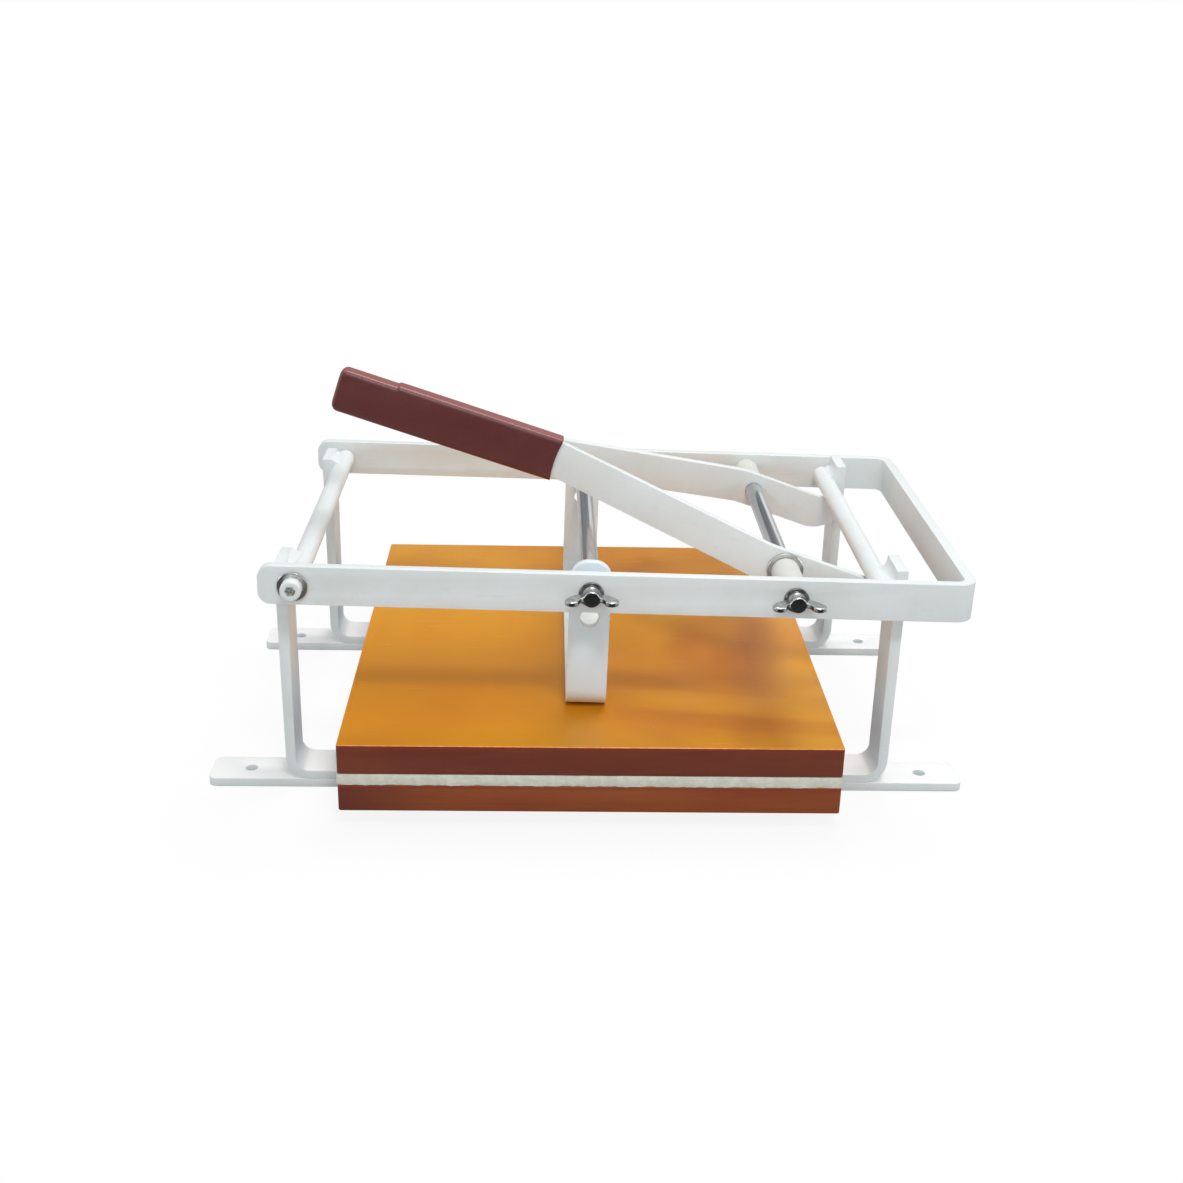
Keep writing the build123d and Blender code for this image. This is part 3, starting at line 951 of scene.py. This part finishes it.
def make_grip():
    """The dipped sleeve over both arms: a hollow mouth, a step along its top and a round end."""
    to_lever = Matrix.Translation(lever_shaft) @ Matrix.Rotation(lever_tilt, 4, "Y")
    far_end = grip_start + grip_length
    from_mouth = [0.0, 0.4, 1.2, 3.0, 6.0, 12.0, *range(20, 101, 10)]
    stations = [grip_start + s * MM for s in from_mouth]
    step_at = far_end - grip_step_from_end
    stations += [step_at + s * MM for s in (-5, -1.2, -0.8, -0.4, 0, 0.4, 0.8, 1.2, 4, 12, 22, 32)]
    stations += [far_end - grip_end_corner * (1 - sin(pi / 2 * k / 9)) for k in range(10)]
    rows = []
    lip = 0.3 * MM
    for along in stations:
        shrink = lip * (1 - ease(along, grip_start, grip_start + 1.2 * MM))
        row = []
        for y, z in grip_row(along):
            hollow = mouth_hollow(z) * (1 - ease(along, grip_start, grip_start + 9 * MM))
            row.append((-(along + hollow), y * (1 - shrink / grip_half_width), z))
        rows.append(row)
    mouth = []
    reach = arm_half_height + mouth_gap
    for y, z in rounded_loop(arm_thick + arm_flare, -reach, reach, mouth_corner):
        mouth.append((-(grip_start + mouth_hollow(z) + mouth_lead), y, z))
    inside = [(x - mouth_depth, y, z) for x, y, z in mouth]
    rows = [inside, mouth] + rows
    count = len(rows[0])
    points = [to_lever @ Vector(p) for row in rows for p in row]
    faces = grid_faces(len(rows), count)
    faces.append(tuple(range(count)))
    faces.append(tuple((len(rows) - 1) * count + i for i in range(count)))
    grip = painted(from_points("dipped_grip", points, faces), [vinyl])
    smoothed(grip, 60.0)
    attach(grip, "lever")
    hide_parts("lever_grip")


# Boards and felt

board_lift = 0.03 * MM
board_upright_corner = 1.8 * MM
board_rim_width = 0.72 * MM
felt_spacing = 1.6 * MM
felt_clearance = 0.02 * MM


def make_board(node, body):
    """A cast board with broken edges: amber faces, red brown sides and, on the upper board, a painted
    highlight of pale amber on the rim between.
    """
    low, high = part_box(node)
    low.z += board_lift
    form = bmesh.new()
    bmesh.ops.create_cube(form, size=1.0)
    size = high - low
    middle = (low + high) / 2
    for vert in form.verts:
        vert.co = Vector((vert.co.x * size.x, vert.co.y * size.y, vert.co.z * size.z)) + middle
    upright = [e for e in form.edges if abs(e.verts[0].co.z - e.verts[1].co.z) > size.z / 2]
    bmesh.ops.bevel(form, geom=upright, offset=board_upright_corner, segments=5, affect="EDGES",
                    profile=0.5)
    level = [e for e in form.edges if abs(e.verts[0].co.z - e.verts[1].co.z) < 1e-6]
    outer = [e for e in level if any(abs(f.normal.z) > 0.9 for f in e.link_faces)]
    bmesh.ops.bevel(form, geom=outer, offset=board_rim_width, segments=4, affect="EDGES",
                    profile=0.5)
    mesh = bpy.data.meshes.new(node + "_cast")
    form.to_mesh(mesh)
    form.free()
    board = painted(piece_from(node + "_cast", mesh), [amber, sawn, rim])
    # Only the upper board's rim takes the painted highlight; the lower board's rim takes the side's paint.
    pale_rim = node == "upper_board"
    for face in mesh.polygons:
        level = face.normal.z
        side_face = level < 0.3 if pale_rim else level < 0.98
        face.material_index = 1 if side_face else 0 if level > 0.98 else 2
    smoothed(board, 40.0)
    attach(board, body)
    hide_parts(node)


def felt_row(low, high, share, phase):
    """The felt's outline at a height share, in and out a little as a hand-cut edge is."""
    bulge_depth = 0.5 * MM
    inset = 0.2 * MM
    wander_depth = 0.5 * MM
    bulge = bulge_depth * (1 - (2 * share - 1) ** 2) - inset
    corners = [(low.x, low.y), (high.x, low.y), (high.x, high.y), (low.x, high.y)]
    points = []
    for i, (x, y) in enumerate(corners):
        next_x, next_y = corners[(i + 1) % 4]
        length = hypot(next_x - x, next_y - y)
        count = int(ceil(length / felt_spacing))
        out = ((next_y - y) / length, (x - next_x) / length)
        for k in range(count):
            t = k / count
            wander = 0.35 * sin(37 * t + 3 * i + phase) + 0.25 * sin(91 * t + 5 * i + 2 * phase)
            cut = bulge + wander * wander_depth
            px = x + (next_x - x) * t
            py = y + (next_y - y) * t
            if k == 0:
                before = corners[i - 1]
                back = hypot(x - before[0], y - before[1])
                out_before = ((y - before[1]) / back, (before[0] - x) / back)
                px += out_before[0] * cut * 0.5
                py += out_before[1] * cut * 0.5
                cut *= 0.5
            points.append((px + out[0] * cut, py + out[1] * cut))
    return points


def make_felt():
    """The felt blanket: a slab whose sides bulge and waver, and the fibres that stand off them."""
    low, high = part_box("felt_blanket")
    foot_rise = 0.85 * MM
    top_dip = 0.15 * MM
    thick = high.z - low.z - 2 * felt_clearance
    levels = 9
    points = []
    count = 0
    for level in range(levels):
        share = level / (levels - 1)
        row = felt_row(low, high, share, 1.3 * share)
        count = len(row)
        for i, (x, y) in enumerate(row):
            wave = 0.5 + 0.16 * sin(0.37 * i) + 0.18 * sin(0.93 * i + 1) + 0.16 * sin(2.1 * i)
            raised = foot_rise * wave * (1 - share) ** 2 - top_dip * wave * share**4
            points.append((x, y, low.z + felt_clearance + thick * share + raised))
    faces = grid_faces(levels, count)
    sides = list(faces)
    faces.append(tuple(range(count)))
    faces.append(tuple((levels - 1) * count + i for i in range(count)))
    felt = painted(from_points("felt_sheet", points, faces), [felt_paint])
    smoothed(felt, 60.0)
    fuzz = felt_fuzz(points, sides[count:6 * count])
    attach(felt, "lower_board")
    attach(fuzz, "lower_board")
    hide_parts("felt_blanket")


def tree_input(tree, name, kind, value):
    socket = tree.interface.new_socket(name, in_out="INPUT", socket_type=kind)
    socket.default_value = value
    return socket


def fuzz_tree():
    """Short bent fibres standing on the faces of a mesh."""
    tree = bpy.data.node_groups.new("standing_fibres", "GeometryNodeTree")
    tree.interface.new_socket("Geometry", in_out="INPUT", socket_type="NodeSocketGeometry")
    tree_input(tree, "Fibres per area", "NodeSocketFloat", 520000.0)
    tree_input(tree, "Fibre length", "NodeSocketFloat", 1.1 * MM)
    tree_input(tree, "Fibre radius", "NodeSocketFloat", 0.028 * MM)
    tree_input(tree, "Seed", "NodeSocketInt", 7)
    tree.interface.new_socket("Geometry", in_out="OUTPUT", socket_type="NodeSocketGeometry")
    new = tree.nodes.new
    link = tree.links.new
    given = new("NodeGroupInput")
    spread = new("GeometryNodeDistributePointsOnFaces")
    link(given.outputs["Geometry"], spread.inputs["Mesh"])
    link(given.outputs["Fibres per area"], spread.inputs["Density"])
    link(given.outputs["Seed"], spread.inputs["Seed"])
    bend = new("GeometryNodeCurveQuadraticBezier")
    bend.inputs["Resolution"].default_value = 3
    bend.inputs["Start"].default_value = (0, 0, -0.1)
    bend.inputs["Middle"].default_value = (0.0, 0, 0.6)
    bend.inputs["End"].default_value = (0.55, 0.1, 0.9)
    grow = new("GeometryNodeTransform")
    sizes = new("ShaderNodeCombineXYZ")
    for axis in "XYZ":
        link(given.outputs["Fibre length"], sizes.inputs[axis])
    link(bend.outputs["Curve"], grow.inputs["Geometry"])
    link(sizes.outputs[0], grow.inputs["Scale"])
    section = new("GeometryNodeCurvePrimitiveCircle")
    section.inputs["Resolution"].default_value = 3
    link(given.outputs["Fibre radius"], section.inputs["Radius"])
    tube = new("GeometryNodeCurveToMesh")
    link(grow.outputs["Geometry"], tube.inputs["Curve"])
    link(section.outputs["Curve"], tube.inputs["Profile Curve"])
    tube.inputs["Fill Caps"].default_value = True
    turn = new("FunctionNodeRandomValue")
    turn.data_type = "FLOAT_VECTOR"
    turn.inputs[0].default_value = (-0.9, -0.9, -pi)
    turn.inputs[1].default_value = (0.9, 0.9, pi)
    link(given.outputs["Seed"], turn.inputs["Seed"])
    tilt = new("FunctionNodeRotateRotation")
    tilt.rotation_space = "LOCAL"
    link(spread.outputs["Rotation"], tilt.inputs[0])
    link(turn.outputs[0], tilt.inputs[1])
    longer = new("FunctionNodeRandomValue")
    longer.inputs[2].default_value = 0.35
    longer.inputs[3].default_value = 1.25
    link(given.outputs["Seed"], longer.inputs["Seed"])
    stand = new("GeometryNodeInstanceOnPoints")
    link(spread.outputs["Points"], stand.inputs["Points"])
    link(tube.outputs["Mesh"], stand.inputs["Instance"])
    link(tilt.outputs[0], stand.inputs["Rotation"])
    link(longer.outputs[1], stand.inputs["Scale"])
    real = new("GeometryNodeRealizeInstances")
    link(stand.outputs["Instances"], real.inputs[0])
    coat = new("GeometryNodeSetMaterial")
    coat.inputs["Material"].default_value = felt_paint
    link(real.outputs[0], coat.inputs["Geometry"])
    result = new("NodeGroupOutput")
    link(coat.outputs[0], result.inputs["Geometry"])
    return tree


def set_input(modifier, name, value):
    for item in modifier.node_group.interface.items_tree:
        if item.item_type == "SOCKET" and item.in_out == "INPUT" and item.name == name:
            modifier[item.identifier] = value


def felt_fuzz(points, sides):
    """The loose fibres on the felt's cut sides."""
    base = from_points("felt_fuzz", points, sides)
    fibres = base.modifiers.new("fibres", "NODES")
    fibres.node_group = fuzz_tree()
    set_input(fibres, "Seed", 11)
    return painted(settled(base), [felt_paint])


# Stage, light and camera

ambient = 0.42


def make_stage():
    """A pale floor that keeps the shadow near the press and runs out into the white background."""
    half = 40.0
    level = -0.2 * MM
    paint = new_paint("white_floor")
    x, y = paint.axes(paint.place())[:2]
    seen, mirrored = paint.rays()
    front = (0.0 - y).step(0.22, 0.55)
    shade = paint.mix(seen, tone(196, 198, 198), tone(252, 252, 252))
    shade = paint.mix(mirrored * front, shade, tone(28, 28, 28))
    ground = paint.node("ShaderNodeBsdfDiffuse", None, {"Color": shade})
    glow = paint.node("ShaderNodeEmission", None, {"Color": tone(255, 255, 255), "Strength": 1.0})
    away = (x * x + y * y) ** 0.5
    factor = seen * (0.88 + 0.12 * away.step(0.3, 0.75))
    blend = paint.node("ShaderNodeMixShader", None, {0: factor, 1: ground, 2: glow})
    paint.node("ShaderNodeOutputMaterial", None, {"Surface": blend})
    mesh = bpy.data.meshes.new("floor")
    corners = [(-half, -half, level), (half, -half, level), (half, half, level), (-half, half, level)]
    mesh.from_pydata(corners, [], [(0, 1, 2, 3)])
    floor = painted(piece_from("floor", mesh), [paint.owner])


def make_world():
    """Soft white all round. What mirrors it sees a white sky, panels and a dim room."""
    world = bpy.data.worlds.new("studio")
    bpy.context.scene.world = world
    paint = Paint(world)
    x, y, z = paint.axes(paint.node("ShaderNodeTexCoord", out="Generated"))
    sky = z.step(0.6, 0.8)
    panel = x.step(0.15, 0.2) * (1.0 - x.step(0.36, 0.44)) * y.step(0.2, 0.5)
    panel = panel * z.step(0.02, 0.1) * (1.0 - z.step(0.25, 0.31))
    sides = x.size().step(0.6, 0.8) * z.step(0.0, 0.1)
    room = (sky + panel * 0.8 + sides * 0.7 + 0.28).clamped()
    seen, mirrored = paint.rays()
    strength = ambient * (1.0 - seen) * (1.0 - mirrored) + seen + mirrored * room
    sockets = {"Color": tone(255, 255, 255), "Strength": strength}
    light = paint.node("ShaderNodeBackground", None, sockets)
    paint.node("ShaderNodeOutputWorld", None, {"Surface": light})


def area_light(name, place, target, size, watts):
    data = bpy.data.lights.new(name, "AREA")
    data.shape = "RECTANGLE"
    data.size, data.size_y = size
    data.energy = watts
    light = bpy.data.objects.new(name, data)
    bpy.context.scene.collection.objects.link(light)
    light.location = place
    light.rotation_euler = (Vector(target) - Vector(place)).to_track_quat("-Z", "Y").to_euler()


def make_lights():
    area_light("lamp", (0.16, -1.13, 1.62), (0, 0, 0.06), (0.42, 0.24), 9.5)
    area_light("ceiling", (0.3, 0.62, 1.7), (0, 0, 0.05), (0.9, 0.7), 15.0)
    area_light("window", (-0.2, -2.2, 0.95), (0, 0, 0.1), (2.2, 1.2), 6.5)
    area_light("right_panel", (2.1, 0.0, 0.7), (0, 0, 0.15), (1.2, 0.9), 6.0)
    area_light("left_panel", (-2.1, 0.0, 0.7), (0, 0, 0.15), (1.2, 0.9), 6.0)


def make_camera():
    forward = Vector((-sin(camera_yaw) * cos(camera_pitch), cos(camera_yaw) * cos(camera_pitch),
                      -sin(camera_pitch)))
    right = Vector((cos(camera_yaw), sin(camera_yaw), 0))
    down = forward.cross(right)
    turned_right = cos(camera_roll) * right + sin(camera_roll) * down
    turned_down = -sin(camera_roll) * right + cos(camera_roll) * down
    data = bpy.data.cameras.new("camera")
    data.sensor_fit = "HORIZONTAL"
    data.sensor_width = sensor_width
    data.lens = focal_pixels * sensor_width / photo_pixels
    data.shift_x = (photo_pixels / 2 - centre_pixel[0]) / photo_pixels
    data.shift_y = (centre_pixel[1] - photo_pixels / 2) / photo_pixels
    data.clip_end = 200.0
    camera = bpy.data.objects.new("camera", data)
    bpy.context.scene.collection.objects.link(camera)
    axes = Matrix((turned_right, -turned_down, -forward)).transposed()
    camera.matrix_world = Matrix.Translation(camera_place) @ axes.to_4x4()
    bpy.context.scene.camera = camera


make_camera()
make_stage()
make_world()
make_lights()
make_bars()
make_cross_rods()
make_welds()
make_shafts()
make_rings()
make_wing_washers()
make_wing_bolts()
make_grip()
make_board("lower_board", "lower_board")
make_board("upper_board", "upper_board")
make_felt()

bpy.context.scene.view_settings.view_transform = "Standard"
